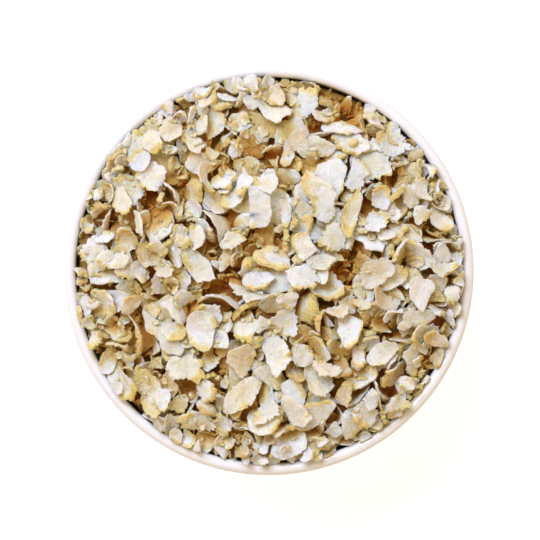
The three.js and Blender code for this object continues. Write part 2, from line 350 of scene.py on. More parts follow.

# Crumb bed: dull and rough, two browns of painted shade mixing grain by grain, so the gaps end in warm brown.
BED_CRUMB = 0.5 * MM
BED_CRUMB_DEPTH = 0.2 * MM
crust, tree, shader = new_finish("crumb_bed_painted_shade")
place = node(tree, "TexCoord").outputs["Object"]
crumbs = node(tree, "TexNoise", {
    "Vector": place, "Scale": 1 / BED_CRUMB, "Detail": 4.0, "Roughness": 0.65,
}).outputs["Fac"]
tint = node(tree, "Mix", {
    0: crumbs, 6: linear("#80601c"), 7: linear("#b8964a"),
}, data_type="RGBA").outputs[2]
tree.links.new(tint, shader.inputs["Base Color"])
bump = node(tree, "Bump", {"Height": crumbs, "Distance": BED_CRUMB_DEPTH, "Strength": 0.8}).outputs["Normal"]
tree.links.new(bump, shader.inputs["Normal"])
shader.inputs["Roughness"].default_value = 0.9

bed = new_piece("flake_bed", form, crust)
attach(bed, "root")
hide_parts("quinoa_flakes")

# ---------------------------------------------------------------------------------------------------------
# Rolled grains: every quinoa grain is a starchy white middle with the yellow germ wound round its rim. The
# rollers press it to a plate some 0.3 mm thick, which curls as it dries and breaks at its
# edges. Each flake is one blank, a round plate, drawn out to an outline and a bend of its own.
OUTLINE_CORNERS = 48  # directions round a flake in which its outline is drawn
OVAL = 0.4  # by how much more than its width a flake may be long, as a share
OVAL_RARELY = 1.7
OUTLINE_WAVES = ((2, 0.04), (3, 0.06), (4, 0.045), (5, 0.035), (7, 0.025))  # number round it, and depth
BREAKS_AT = (0.3, 0.95)  # how far from the middle a flake breaks, as shares of its radius
BREAK_WIDTH = 0.08  # cosine of how far round the break reaches
GERM_BAND = (0.35, 0.8)  # where the germ begins, as shares of the way out
GERM_BLEND = 0.14
GERM_HEIGHT = 0.08
GERM_GRAIN = 0.14
TEETH = 0.75  # corner by corner, as shares of a flake's raggedness, and then the broader chips
CHIPS = 1.1
NICKS = 4.0
NICKS_ABOVE = 1.1  # how strong a draw makes a nick, and then how deep one may be
NICKS_MOST = 0.8
CURLS_UP = (-0.1, 0.8)  # rise of a flake's ends
CURLS_RARELY = 0.9
CURLS_ACROSS = (-0.3, 0.45)
TURNED_EDGE = (-1.6, 2.2)  # how strongly one side turns up or down, on the share of flakes that have one
TURNED_SHARE = 0.45
TURNED_FROM = 0.45
DIMPLES = ((2.2, 4.0, 0.07), (1.2, 2.2, 0.05), (0.7, 1.2, 0.03))  # least and most length, and depth
RIM_THINNING = 0.35
SKIN_ROUGHNESS = 0.012
RIM_ROUGHNESS = 0.03
LARGE_COUNT = 860
LARGE_LEAST = 1.2  # these, and every flake's own sizes, are in millimetres
LARGE_MOST = 2.4
SMALL_COUNT = 380  # small flakes that fill in along the wall
SMALL_LEAST = 0.8
SMALL_MOST = 1.4
FLAKE_COUNT = LARGE_COUNT + SMALL_COUNT
FLAKE_THICKNESS = 0.29
THICKNESS_SPREAD = (0.75, 1.25)

draw = np.random.RandomState(20)


def around(values, reach):
    """Each outline value averaged with its neighbours on both sides, as far as reach."""
    return sum(np.roll(values, k, 1) for k in range(-reach, reach + 1)) / (2 * reach + 1)


def sizes(count, least, most):
    """That many radii in millimetres, the smaller ones more often."""
    return least + (most - least) * draw.rand(count, 1) ** 1.5


def rolled(size, breaks, germ_arc, raggedness):
    """Draws the outlines, bends and germ of flakes of those radii."""
    f = SimpleNamespace(size=size)
    angle = 2 * math.pi * np.arange(OUTLINE_CORNERS) / OUTLINE_CORNERS
    column = size.shape
    longer = np.sqrt(1 + OVAL * draw.rand(*column) + OVAL_RARELY * draw.rand(*column) ** 5)
    turned_by = draw.uniform(0, 2 * math.pi, column)
    long_side = f.size * longer
    short_side = f.size / longer
    whole = long_side * short_side / np.hypot(
        short_side * np.cos(angle - turned_by), long_side * np.sin(angle - turned_by)
    )
    for waves, depth in OUTLINE_WAVES:
        start = draw.uniform(0, 2 * math.pi, column)
        whole = whole * (1 + depth * draw.normal(0, 1, column) * np.cos(waves * angle + start))
    outline = whole.copy()
    for share in breaks:
        facing = np.cos(angle - draw.uniform(0, 2 * math.pi, column))
        away = f.size * draw.uniform(*BREAKS_AT, column)
        cut = np.where(facing > BREAK_WIDTH, away / np.maximum(facing, BREAK_WIDTH), np.inf)
        outline = np.where(draw.rand(*column) < share, np.minimum(outline, cut), outline)
    broken = np.clip((whole / outline - 1.02) * 12, 0, 1)
    arc = germ_arc * draw.uniform(0.3, 1.3, column) + 2 * draw.rand(*column) ** 6
    faces_germ = np.cos(angle - draw.uniform(0, 2 * math.pi, column)) - np.cos(np.minimum(arc, math.pi))
    f.germ = np.clip(faces_germ * 5, 0, 1) * (1 - broken)
    f.germ_from = draw.uniform(*GERM_BAND, column)
    ragged = raggedness * draw.uniform(0.2, 1.6, column) * (0.6 + 0.7 * broken + 0.5 * f.germ)
    teeth = draw.normal(0, 1, outline.shape)
    chips = around(draw.normal(0, 1, outline.shape), 1)
    nicks = -np.clip(around(draw.normal(0, 1, outline.shape), 1) - NICKS_ABOVE, 0, NICKS_MOST)
    f.outline = outline * (1 + ragged * (TEETH * teeth + CHIPS * chips + NICKS * nicks))
    f.soft_outline = around(outline, 3)
    f.curl_way = draw.uniform(0, math.pi, column)
    f.curl = draw.uniform(*CURLS_UP, column) + CURLS_RARELY * draw.rand(*column) ** 4
    f.cross_curl = draw.uniform(*CURLS_ACROSS, column)
    f.lip_way = draw.uniform(0, 2 * math.pi, column)
    f.lip = draw.uniform(*TURNED_EDGE, column) * (draw.rand(*column) < TURNED_SHARE)
    f.thickness = FLAKE_THICKNESS * draw.uniform(*THICKNESS_SPREAD, column)
    f.dimples = [
        SimpleNamespace(
            way=draw.uniform(0, 2 * math.pi, column),
            length=draw.uniform(least, most, column),
            start=draw.uniform(0, 2 * math.pi, column),
            depth=depth,
        )
        for least, most, depth in DIMPLES
    ]
    f.tone = draw.rand(*column)
    return f


UPPER_SPREAD = 0.24  # half the width that a face takes in the map
LOWER_SPREAD = 0.215  # and less for the lower one, which has the plate's edge laid out round it


def mesh_and_points(name, form):
    """A finished bmesh as a mesh, and its points as an array."""
    mesh = bpy.data.meshes.new(name)
    form.to_mesh(mesh)
    form.free()
    return mesh, np.array([v.co for v in mesh.vertices])


def blank(corners, rings):
    """A round plate of unit radius as a mesh, one unit thick, with its faces laid out flat in a map.

    The upper faces fill the left of the map, and the lower ones and the edge the right."""
    form = bmesh.new()
    bmesh.ops.create_circle(form, cap_ends=True, cap_tris=True, segments=corners, radius=rings[0])
    for before, ring in zip(rings, rings[1:]):
        rim = [e for e in form.edges if e.is_boundary]
        grown = bmesh.ops.extrude_edge_only(form, edges=rim)["geom"]
        outer = [v for v in grown if isinstance(v, bmesh.types.BMVert)]
        bmesh.ops.scale(form, vec=(ring / before, ring / before, 1), verts=outer)
    bmesh.ops.solidify(form, geom=form.faces[:], thickness=1.0)
    bmesh.ops.recalc_face_normals(form, faces=form.faces)
    middle = sum(v.co.z for v in form.verts) / len(form.verts)
    bmesh.ops.translate(form, vec=(0, 0, -middle), verts=form.verts)
    laid_out = form.loops.layers.uv.new("OFBake")
    for face in form.faces:
        upper = face.normal.z > 0.5
        for loop in face.loops:
            x, y, z = loop.vert.co
            spread = UPPER_SPREAD if upper or z > 0 else LOWER_SPREAD
            loop[laid_out].uv = ((0.25 if upper else 0.75) + spread * x, 0.5 + 2 * spread * y)
    for edge in form.edges:
        sides = [abs(face.normal.z) > 0.5 for face in edge.link_faces]
        edge.smooth = sides[0] == sides[-1]
    in_order(form)
    mesh, points = mesh_and_points("blank", form)
    reach = np.hypot(points[:, 0], points[:, 1])
    turn = np.arctan2(points[:, 1], points[:, 0])
    corner = np.round(turn / (2 * math.pi) * OUTLINE_CORNERS).astype(int) % OUTLINE_CORNERS
    return SimpleNamespace(mesh=mesh, reach=reach, turn=turn, corner=corner, side=np.sign(points[:, 2]))


def flake_points(f, picked, plate):
    """The picked flakes' points on a blank, in millimetres, and how much germ each point has."""
    grown = plate.reach**4
    reach = plate.reach * (
        f.soft_outline[picked][:, plate.corner] * (1 - grown) + f.outline[picked][:, plate.corner] * grown
    )
    x = reach * np.cos(plate.turn)
    y = reach * np.sin(plate.turn)
    size = f.size[picked]
    way = f.curl_way[picked]
    along = (x * np.cos(way) + y * np.sin(way)) / size
    across = (y * np.cos(way) - x * np.sin(way)) / size
    z = f.curl[picked] * along**2 + f.cross_curl[picked] * across**2
    beyond = (x * np.cos(f.lip_way[picked]) + y * np.sin(f.lip_way[picked])) / size - TURNED_FROM
    z += f.lip[picked] * np.clip(beyond, 0, None) ** 2
    for dimple in f.dimples:
        d = dimple.way[picked]
        waves = (x * np.cos(d) + y * np.sin(d)) * 2 * math.pi / dimple.length[picked] + dimple.start[picked]
        z += dimple.depth * np.sin(waves)
    germ = f.germ[picked][:, plate.corner] * np.clip((plate.reach - f.germ_from[picked]) / GERM_BLEND, 0, 1)
    thinned = 1 - RIM_THINNING * plate.reach**5
    rough = draw.normal(0, 1, z.shape)
    z += plate.side * (f.thickness[picked] / 2 * thinned + germ * (GERM_HEIGHT + GERM_GRAIN * np.abs(rough)))
    z += (SKIN_ROUGHNESS + RIM_ROUGHNESS * plate.reach**4) * rough
    return np.stack([x, y, z], 2), germ


# The flakes are poured in from a scoop. Each falls as a stiff plate with few corners, in a simulation on a
# larger scale, and stays where friction jams it, so that it rests on its neighbours as a real one does.
POUR_SCALE = 0.1  # the simulation's units for each millimetre
POUR_LAYER = 125  # flakes in one layer of the scoop
POUR_RISE = 3.2  # between layers
WALL_RING = 60  # small flakes in one ring at the wall
POUR_FRAMES = 60
WALL_CLEARANCE = 0.04
OVER_LIP = 0.35  # how far the heap leans out over the lip
WELL_TURNS = 72
TUMBLE = 1.5  # how far each flake is turned at the start, in radians, either way
FIRST_LAYER = 3.4  # above the bed
SCOOP_CLEARANCE = 3.0  # between the scoop's edge and the wall
LAYER_TURN = 0.7
SPIRAL = 3 - math.sqrt(5)  # half turns from flake to flake, which spread them evenly
RING_CLEARANCE = 1.3
FIRST_RING = 2  # above the lip
FRICTION = 2.0
MARGIN = 0.002
DRAG = 0.5
SPIN_DRAG = 0.8
SUBSTEPS = 8
SOLVER_STEPS = 10

large_sizes = sizes(LARGE_COUNT, LARGE_LEAST, LARGE_MOST)
small_sizes = sizes(SMALL_COUNT, SMALL_LEAST, SMALL_MOST)
flakes = rolled(
    np.concatenate([large_sizes, small_sizes]), breaks=(0.6, 0.35, 0.15), germ_arc=1.2, raggedness=0.075,
)
plate_stiff = blank(12, (1.0,))
everyone = np.arange(FLAKE_COUNT)
stiff_points, _ = flake_points(flakes, everyone, plate_stiff)
tumble = random.Random(4)


def new_body(name, points, faces):
    """A plain object of the simulation."""
    mesh = bpy.data.meshes.new(name)
    mesh.from_pydata(points, [], faces)
    body = bpy.data.objects.new(name, mesh)
    bpy.context.scene.collection.objects.link(body)
    return body


def make_solid(bodies, kind, shape):
    """Makes these objects part of the simulation."""
    bpy.ops.object.select_all(action="DESELECT")
    for body in bodies:
        body.select_set(True)
    bpy.context.view_layer.objects.active = bodies[0]
    bpy.ops.rigidbody.objects_add(type=kind)
    for body in bodies:
        body.rigid_body.collision_shape = shape
        body.rigid_body.friction = FRICTION
        body.rigid_body.restitution = 0
        body.rigid_body.use_margin = True
        body.rigid_body.collision_margin = MARGIN
        body.rigid_body.linear_damping = DRAG
        body.rigid_body.angular_damping = SPIN_DRAG


def above_heap(i):
    """Where flake i starts to fall: the large ones in even layers, the small ones in rings at the wall."""
    if i < LARGE_COUNT:
        layer, slot = divmod(i, POUR_LAYER)
        away = (INNER_RADIUS / MM - SCOOP_CLEARANCE) * math.sqrt((slot + 0.5) / POUR_LAYER)
        turn = slot * math.pi * SPIRAL + layer * LAYER_TURN
        rise = bed_height(away * MM) / MM + FIRST_LAYER + layer * POUR_RISE
    else:
        layer, slot = divmod(i - LARGE_COUNT, WALL_RING)
        away = INNER_RADIUS / MM - RING_CLEARANCE
        turn = 2 * math.pi * (slot + layer / 2) / WALL_RING
        rise = BOWL_HEIGHT / MM + FIRST_RING + 2 * layer * POUR_RISE
    return away * math.cos(turn), away * math.sin(turn), rise


def poured():
    """Turns (3 by 3) and places in millimetres of the flakes once they have come to rest."""
    stiff_faces = [tuple(p.vertices) for p in plate_stiff.mesh.polygons]
    falling = []
    for i, points in enumerate(stiff_points):
        body = new_body("falling", np.round(points * POUR_SCALE, 4).tolist(), stiff_faces)
        at = above_heap(i)
        body.location = [round(v * POUR_SCALE, 4) for v in at]
        body.rotation_euler = [round(tumble.uniform(-TUMBLE, TUMBLE), 4) for _ in range(3)]
        falling.append(body)
    sides = [(r, bed_height(r)) for r in np.linspace(0, BED_RADIUS, 14)]
    for height in (BED_EDGE + 0.5 * MM, (BED_EDGE + SHOULDER) / 2, SHOULDER):
        sides.append((wall_radius(height, INNER_RADIUS, FLOOR) - WALL_CLEARANCE * MM, height))
    sides.append((INNER_RADIUS + OVER_LIP * MM, BOWL_HEIGHT + 0.3 * MM))
    sides.append((INNER_RADIUS + OVER_LIP * MM, 4 * BOWL_HEIGHT))
    form = spun([(r / MM * POUR_SCALE, z / MM * POUR_SCALE) for r, z in sides], WELL_TURNS, 1e-4)
    in_order(form)
    for corner in form.verts:
        corner.co.z += bed_swell(*(corner.co.xy / POUR_SCALE * MM)) / MM * POUR_SCALE
    well = new_body("well", [], [])
    form.to_mesh(well.data)
    form.free()

    bpy.ops.rigidbody.world_add()
    settling = bpy.context.scene.rigidbody_world
    settling.collection = bpy.data.collections.new("settling")
    settling.substeps_per_frame = SUBSTEPS
    settling.solver_iterations = SOLVER_STEPS
    make_solid(falling, "ACTIVE", "CONVEX_HULL")
    make_solid([well], "PASSIVE", "MESH")
    for moment in range(1, POUR_FRAMES + 1):
        bpy.context.scene.frame_set(moment)
    seen = bpy.context.evaluated_depsgraph_get()
    rest = np.array([body.evaluated_get(seen).matrix_world for body in falling])
    bpy.ops.rigidbody.world_remove()
    bpy.context.scene.frame_set(1)
    for body in [*falling, well]:
        bpy.data.meshes.remove(body.data)
    return np.round(rest[:, :3, :3], 6), np.round(rest[:, :3, 3] / POUR_SCALE, 5)


turns, places = poured()


def in_place(points, picked):
    """Flakes' own points moved to where the flakes lie."""
    return np.einsum("nij,nvj->nvi", turns[picked], points) + places[picked][:, None, :]


def above_bed(points):
    """How far points, in millimetres, lie above the smooth top of the bed."""
    away = np.hypot(points[..., 0], points[..., 1])
    return points[..., 2] - bed_height(away * MM) / MM


def from_wall(points):
    """How far in from the bowl's wall points lie, in millimetres."""
    return INNER_RADIUS / MM - np.hypot(points[..., 0], points[..., 1])


# A flake that came to rest standing well out of the heap, or over the slope that its edge can hold, would
# have slid off it, and is left out. How much of each of the others can be seen is found by looking at the
# heap along many lines.
HEAP_DEPTH = 3.7  # of loose flakes over the bed
PROUDEST = 0.9  # how far a flake may stand out of that
OVER_EDGE = 2.0  # how high one may stand at the lip
EDGE_SLOPE = 1.0  # and how much more for each millimetre further in
LOOK_STEP = 0.35
LOOK_AWAY = 60
LOOK_FROM = [(0, 0, 1)] + [
    (math.cos(a) * s, math.sin(a) * s, math.sqrt(1 - s * s))
    for s in (0.5, 0.85)
    for a in np.linspace(0, 2 * math.pi, 6, endpoint=False)
]
SHOWN_WELL = 110  # sight lines, and from here on a flake is drawn with all its corners
SHOWN_PARTLY = 30

at_rest = in_place(stiff_points, everyone)
over_lip = at_rest[..., 2] - BOWL_HEIGHT / MM
lying = (above_bed(at_rest).max(1) < HEAP_DEPTH + PROUDEST) & (
    (over_lip - EDGE_SLOPE * from_wall(at_rest)).max(1) < OVER_EDGE
)


def repeated(plate, points):
    """A bmesh with the blank once for each flake, moved to these points in millimetres."""
    form = bmesh.new()
    for _ in range(len(points)):
        form.from_mesh(plate.mesh)
    for corner, at in zip(form.verts, (points * MM).reshape(-1, 3).tolist()):
        corner.co = at
    return form


def looked_at():
    """Number of sight lines that end on each flake."""
    picked = np.flatnonzero(lying)
    form = repeated(plate_stiff, in_place(stiff_points[picked], picked))
    heap = BVHTree.FromBMesh(form)
    form.free()
    faces = len(plate_stiff.mesh.polygons)
    seen = np.zeros(FLAKE_COUNT, int)
    steps = np.arange(-INNER_RADIUS / MM, INNER_RADIUS / MM, LOOK_STEP) * MM
    for towards in LOOK_FROM:
        back = Vector(towards) * LOOK_AWAY * MM
        for x in steps:
            for y in steps:
                if x * x + y * y > INNER_RADIUS**2:
                    continue
                face = heap.ray_cast(Vector((x, y, BOWL_HEIGHT)) + back, -back)[2]
                if face is not None:
                    seen[picked[face // faces]] += 1
    return seen


sight = looked_at()
plate_fine = blank(OUTLINE_CORNERS, (0.45, 0.7, 0.84, 0.94, 1.0))
plate_plain = blank(OUTLINE_CORNERS // 2, (0.6, 0.88, 1.0))
plate_coarse = blank(OUTLINE_CORNERS // 4, (0.6, 1.0))

# What the materials read of each point: its germ, its flake's tone, how far out on the flake it is, and how
# deep it lies in the heap, from 0 on top to 1, which sets their painted shade. At the wall the heap's top
# comes down to the lip.
DEEP_REACH = 3.6
TOP_AT_LIP = 0.8  # of the heap's top over the lip
TOP_SLOPE = 0.5  # how much higher the top is for each millimetre further in, until it is the whole heap's


def marks_of(points, germ, tone, reach):
    """Those four values at each of the points."""
    under_edge = BOWL_HEIGHT / MM + TOP_AT_LIP + TOP_SLOPE * from_wall(points) - points[..., 2]
    low = np.clip(np.minimum(HEAP_DEPTH - above_bed(points), under_edge) / DEEP_REACH, 0, 1)
    return np.stack(np.broadcast_arrays(germ, tone, reach, low), 2)


def spread_map(mesh, first, copies, total):
    """Gives each copy of a blank a cell of its own in the map, two cells wide for each one high."""
    columns = math.ceil(math.sqrt(total / 2))
    rows = math.ceil(total / columns)
    layer = mesh.uv_layers["OFBake"]
    at = np.empty(len(layer.uv) * 2, np.float32)
    layer.uv.foreach_get("vector", at)
    cell = first + np.arange(copies)
    corner = np.stack([cell % columns, cell // columns], 1)[:, None, :]
    at = (at.reshape(copies, -1, 2) + corner) / (columns, rows)
    layer.uv.foreach_set("vector", at.astype(np.float32).ravel())


def loose_piece(name, parts, finish, smooth=True):
    """One piece of many loose things. A part is (blank, points of every copy, marks of every point)."""
    form = bmesh.new()
    total = sum(len(points) for _, points, _ in parts)
    first = 0
    for plate, points, _ in parts:
        copies = repeated(plate, points)
        mesh = bpy.data.meshes.new("copies")
        copies.to_mesh(mesh)
        copies.free()
        spread_map(mesh, first, len(points), total)
        first += len(points)
        form.from_mesh(mesh)
        bpy.data.meshes.remove(mesh)
    piece = new_piece(name, form, finish, smooth)
    layer = piece.data.attributes.new("flake", "FLOAT_COLOR", "POINT")
    marks = np.concatenate([marks.reshape(-1, 4) for _, _, marks in parts])
    layer.data.foreach_set("color", marks.astype(np.float32).ravel())
    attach(piece, "root")
    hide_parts("quinoa_flakes")
    return piece


def loose_flakes(name, of_kind, finish):
    """The piece of the poured flakes of one kind, with those that hardly show drawn with fewer corners."""
    well = sight > SHOWN_WELL
    partly = (sight > SHOWN_PARTLY) & ~well
    parts = []
    for plate, wanted in ((plate_fine, well), (plate_plain, partly), (plate_coarse, ~well & ~partly)):
        picked = np.flatnonzero(of_kind & lying & wanted)
        points, germ = flake_points(flakes, picked, plate)
        points = in_place(points, picked)
        parts.append((plate, points, marks_of(points, germ, flakes.tone[picked], plate.reach)))
    return loose_piece(name, parts, finish)


# Dried rolled starch: dull and floury, with a little light passing through it, so that the gaps between
# flakes glow warm. Colours run from the starch to cream by flake, to germ along the rim, to bran where the
# middle is rolled thinnest, and to a painted brown shade low in the heap. Some flakes are smooth and others
# grainy.
FLOUR_GRAIN = 0.2 * MM
FLOUR_DEPTH = 0.1 * MM
CRUMBLE = 0.38 * MM
CRUMBLE_DEPTH = 0.3 * MM
MOTTLE = 1.3 * MM
MOTTLE_DEPTH = 0.5 * MM
GLINT = "#fdfcfb"


def rolled_grain(name, starch, cream, germ, ochre, bran, deep):
    """The finish of a kind of flake, from its colours. Deep is the colour of the painted shade low in the
    heap.
    """
    finish, tree, shader = new_finish(name)
    place = node(tree, "TexCoord").outputs["Object"]
    marks = node(tree, "Attribute", attribute_name="flake")
    mark = node(tree, "SeparateColor", {0: marks.outputs["Color"]})
    flour = node(tree, "TexNoise", {
        "Vector": place, "Scale": 1 / FLOUR_GRAIN, "Detail": 2.0, "Roughness": 0.6,
    }).outputs["Fac"]
    crumble = node(tree, "TexNoise", {
        "Vector": place, "Scale": 1 / CRUMBLE, "Detail": 2.0, "Roughness": 0.55,
    }).outputs["Fac"]
    mottle = node(tree, "TexNoise", {"Vector": place, "Scale": 1 / MOTTLE, "Detail": 2.0}).outputs["Fac"]
    creamy = node(tree, "Math", {0: mottle, 1: mark.outputs["Green"]}, operation="ADD")
    creamy = node(tree, "Math", {0: creamy.outputs[0], 1: -0.4}, operation="ADD", use_clamp=True).outputs[0]
    body = node(tree, "Mix", {0: creamy, 6: linear(starch), 7: linear(cream)}, data_type="RGBA").outputs[2]
    germ_tint = node(tree, "Mix", {
        0: crumble, 6: linear(ochre), 7: linear(germ),
    }, data_type="RGBA").outputs[2]
    germ_edge = node(tree, "Math", {0: mark.outputs["Red"], 1: crumble}, operation="ADD").outputs[0]
    germ_share = node(tree, "MapRange", {
        "Value": germ_edge, "From Min": 0.55, "From Max": 1.3, "To Min": 0, "To Max": 0.9,
    }).outputs["Result"]
    body = node(tree, "Mix", {0: germ_share, 6: body, 7: germ_tint}, data_type="RGBA").outputs[2]
    thin = node(tree, "Math", {0: mottle, 1: mark.outputs["Blue"]}, operation="SUBTRACT").outputs[0]
    thin = node(tree, "MapRange", {
        "Value": thin, "From Min": -0.35, "From Max": 0.4, "To Min": 0, "To Max": 0.7,
    }).outputs["Result"]
    body = node(tree, "Mix", {0: thin, 6: body, 7: linear(bran)}, data_type="RGBA").outputs[2]
    grainy = node(tree, "MapRange", {
        "Value": mark.outputs["Green"], "From Min": 0.2, "From Max": 0.9, "To Min": 0.25, "To Max": 1,
    }).outputs["Result"]
    # Painted glints: near-white specks mixed into the colour where the flour grain peaks, most on grainy
    # flakes.
    glints = node(tree, "MapRange", {
        "Value": flour, "From Min": 0.6, "From Max": 0.7, "To Min": 0, "To Max": grainy,
    }).outputs["Result"]
    body = node(tree, "Mix", {0: glints, 6: body, 7: linear(GLINT)}, data_type="RGBA").outputs[2]
    shade = node(tree, "MapRange", {"Value": flour, "To Min": 0.93, "To Max": 1.06}).outputs["Result"]
    body = node(tree, "VectorMath", {0: body, "Scale": shade}, operation="SCALE").outputs[0]
    # Painted shade: the colour goes towards the deep tint the lower the point lies in the heap.
    low = node(tree, "MapRange", {
        "Value": marks.outputs["Alpha"], "From Min": 0.34, "From Max": 0.94, "To Min": 0, "To Max": 1,
    }).outputs["Result"]
    painted_deep_shade = node(tree, "Gamma", {"Color": linear(deep), "Gamma": low}).outputs["Color"]
    body = node(tree, "VectorMath", {0: body, 1: painted_deep_shade}, operation="MULTIPLY").outputs[0]
    tree.links.new(body, shader.inputs["Base Color"])
    germ_rough = node(tree, "MapRange", {
        "Value": mark.outputs["Red"], "To Min": 0.4, "To Max": 1.0,
    }).outputs["Result"]
    uneven = node(tree, "Bump", {
        "Height": mottle, "Distance": MOTTLE_DEPTH, "Strength": 0.7,
    }).outputs["Normal"]
    coarse_bump = node(tree, "Bump", {
        "Height": crumble, "Distance": CRUMBLE_DEPTH, "Strength": germ_rough, "Normal": uneven,
    })
    fine_bump = node(tree, "Bump", {
        "Height": flour, "Distance": FLOUR_DEPTH, "Strength": grainy, "Normal": coarse_bump.outputs["Normal"],
    })
    tree.links.new(fine_bump.outputs["Normal"], shader.inputs["Normal"])
    shader.inputs["Roughness"].default_value = 0.62
    shader.inputs["IOR"].default_value = 1.45
    shader.inputs["Subsurface Weight"].default_value = 0.85
    shader.inputs["Subsurface Radius"].default_value = (1.0, 0.62, 0.3)
    shader.inputs["Subsurface Scale"].default_value = 1.1 * MM
    return finish


kind = draw.rand(FLAKE_COUNT)

# ---------------------------------------------------------------------------------------------------------
# White flakes: the starchy middle of the grain, rolled out smooth and almost pure white, with thin edges
# and hardly any germ left on them.
WHITE_TO = 0.32  # shares of all flakes, from 0 to 1: up to here they are of this kind
white_starch = rolled_grain(
    "rolled_white_starch",
    starch="#f8f8fa", cream="#f5f4f2", germ="#f1e5ac", ochre="#dac684", bran="#f0ece5", deep="#d28a2e",
)
loose_flakes("white_flakes", kind < WHITE_TO, white_starch)

# ---------------------------------------------------------------------------------------------------------
# Cream flakes: the same starch a little less white, from nearer the outside of the grain. They are rolled
# like the white ones, and take a creamier tint where they are thin.
CREAM_TO = 0.6
cream_starch = rolled_grain(
    "rolled_cream_starch",
    starch="#f5f4f4", cream="#f0ebe2", germ="#efe09c", ochre="#d3ba6c", bran="#e6dece", deep="#cc8428",
)
loose_flakes("cream_flakes", (kind >= WHITE_TO) & (kind < CREAM_TO), cream_starch)

# ---------------------------------------------------------------------------------------------------------
# Germ-rimmed flakes: grains that were rolled flat with their germ still on, a yellow band along part of the
# rim that crumbles and stands up from the starch.
GERM_TO = 0.86
germ_rimmed = rolled_grain(
    "rolled_starch_with_germ",
    starch="#f4f2ee", cream="#eee7d8", germ="#eede90", ochre="#d1b55c", bran="#e2d7c0", deep="#c87e24",
)
loose_flakes("germ_rimmed_flakes", (kind >= CREAM_TO) & (kind < GERM_TO), germ_rimmed)

# ---------------------------------------------------------------------------------------------------------
# Tan flakes: flakes that still carry the bran, the grain's own tan skin, over starch that is rolled thin
# enough to let light through.
tan_bran = rolled_grain(
    "rolled_starch_with_bran",
    starch="#ece6dd", cream="#e1d5be", germ="#e5d08a", ochre="#c2a056", bran="#cfbd9c", deep="#c07420",
)
loose_flakes("tan_flakes", kind >= GERM_TO, tan_bran)

# ---------------------------------------------------------------------------------------------------------
# Broken bits: corners that have snapped off the flakes, some with germ on them, which have slipped down into
# the hollows. Each rests on the three points of the heap that its rim would touch.
BIT_COUNT = 200
BIT_LEAST = 0.3
BIT_MOST = 1.0
BIT_TRIES = 5  # places tried, of which the lowest is taken
BIT_SLOPE = 0.45  # cosine of the steepest place where one stays
BIT_CORNERS = 16
BIT_CURL = 0.5  # as a share of a whole flake's, and the next too
BIT_TURNED = 0.3
OFF_WALL = 0.1
LIFTED = 0.5  # how much of the way a thing is lifted clear of what pokes up under it
RESTS_OVER = 0.08
heap = [
    bpy.data.objects[name]
    for name in ("flake_bed", "white_flakes", "cream_flakes", "germ_rimmed_flakes", "tan_flakes")
]


def look_down(pieces):
    """A function that gives the highest point and its normal of these pieces under a place, or None."""
    seen = bpy.context.evaluated_depsgraph_get()
    trees = [BVHTree.FromObject(piece, seen) for piece in pieces]

    def under(x, y):
        start = Vector((x * MM, y * MM, 2 * BOWL_HEIGHT))
        hits = [tree.ray_cast(start, Vector((0, 0, -1)))[:2] for tree in trees]
        hits = [hit for hit in hits if hit[0] is not None]
        return max(hits, key=lambda hit: hit[0].z) if hits else None

    return under


def anywhere(clear):
    """A random place in the bowl's mouth, that far clear of its wall."""
    away = (INNER_RADIUS / MM - clear) * math.sqrt(draw.rand())
    turn = draw.uniform(0, 2 * math.pi)
    return away * math.cos(turn), away * math.sin(turn)


def settled(under, radius, steepest, tries):
    """Turn and place of a flat thing of that radius, at the lowest of a few places on what is under it."""
    found = []
    while len(found) < tries:
        x, y = anywhere(radius + OFF_WALL)
        start = draw.uniform(0, 2 * math.pi)
        spokes = [start + k * math.pi / 3 for k in range(6)]
        rim = [under(x + radius * math.cos(a), y + radius * math.sin(a)) for a in spokes]
        middle = under(x, y)
        if middle is None or None in rim:
            continue
        feet = [rim[k][0] for k in (0, 2, 4)]
        normal = (feet[1] - feet[0]).cross(feet[2] - feet[0]).normalized()
        if normal.z < steepest:
            continue
        lift = max((hit[0] - feet[0]).dot(normal) for hit in [middle, *rim])
        side = (feet[0] - middle[0]).cross(normal).normalized()
        turn = np.array([side, normal.cross(side), normal]).T
        level = feet[0].z - ((x * MM - feet[0].x) * normal.x + (y * MM - feet[0].y) * normal.y) / normal.z
        at = np.array((x, y, level / MM)) + np.array(normal) * (max(lift, 0) * LIFTED / MM + RESTS_OVER)
        if math.hypot(at[0], at[1]) < INNER_RADIUS / MM - radius:
            found.append((turn, at))
    return min(found, key=lambda rest: float(above_bed(rest[1])))


def laid(under, radii, points, steepest, tries):
    """Points of flat things of those radii, turned and moved to where each settles."""
    rest = [settled(under, float(radius), steepest, tries) for radius in radii]
    facing = np.array([turn for turn, _ in rest])
    return np.einsum("nij,nvj->nvi", facing, points) + np.array([[at] for _, at in rest])


bits = rolled(sizes(BIT_COUNT, BIT_LEAST, BIT_MOST), breaks=(0.8, 0.6, 0.4), germ_arc=1.6, raggedness=0.1)
bits.curl = bits.curl * BIT_CURL
bits.lip = bits.lip * BIT_TURNED
plate_bit = blank(BIT_CORNERS, (0.6, 1.0))
under = look_down(heap)
points, germ = flake_points(bits, np.arange(BIT_COUNT), plate_bit)
points = laid(under, bits.size[:, 0], points, BIT_SLOPE, BIT_TRIES)
crushed = rolled_grain(
    "crushed_grain",
    starch="#f2eee4", cream="#e8dcbe", germ="#ecdb98", ochre="#cdb066", bran="#dac498", deep="#cb7f26",
)
broken_bits = loose_piece(
    "broken_bits", [(plate_bit, points, marks_of(points, germ, bits.tone, plate_bit.reach))], crushed,
)

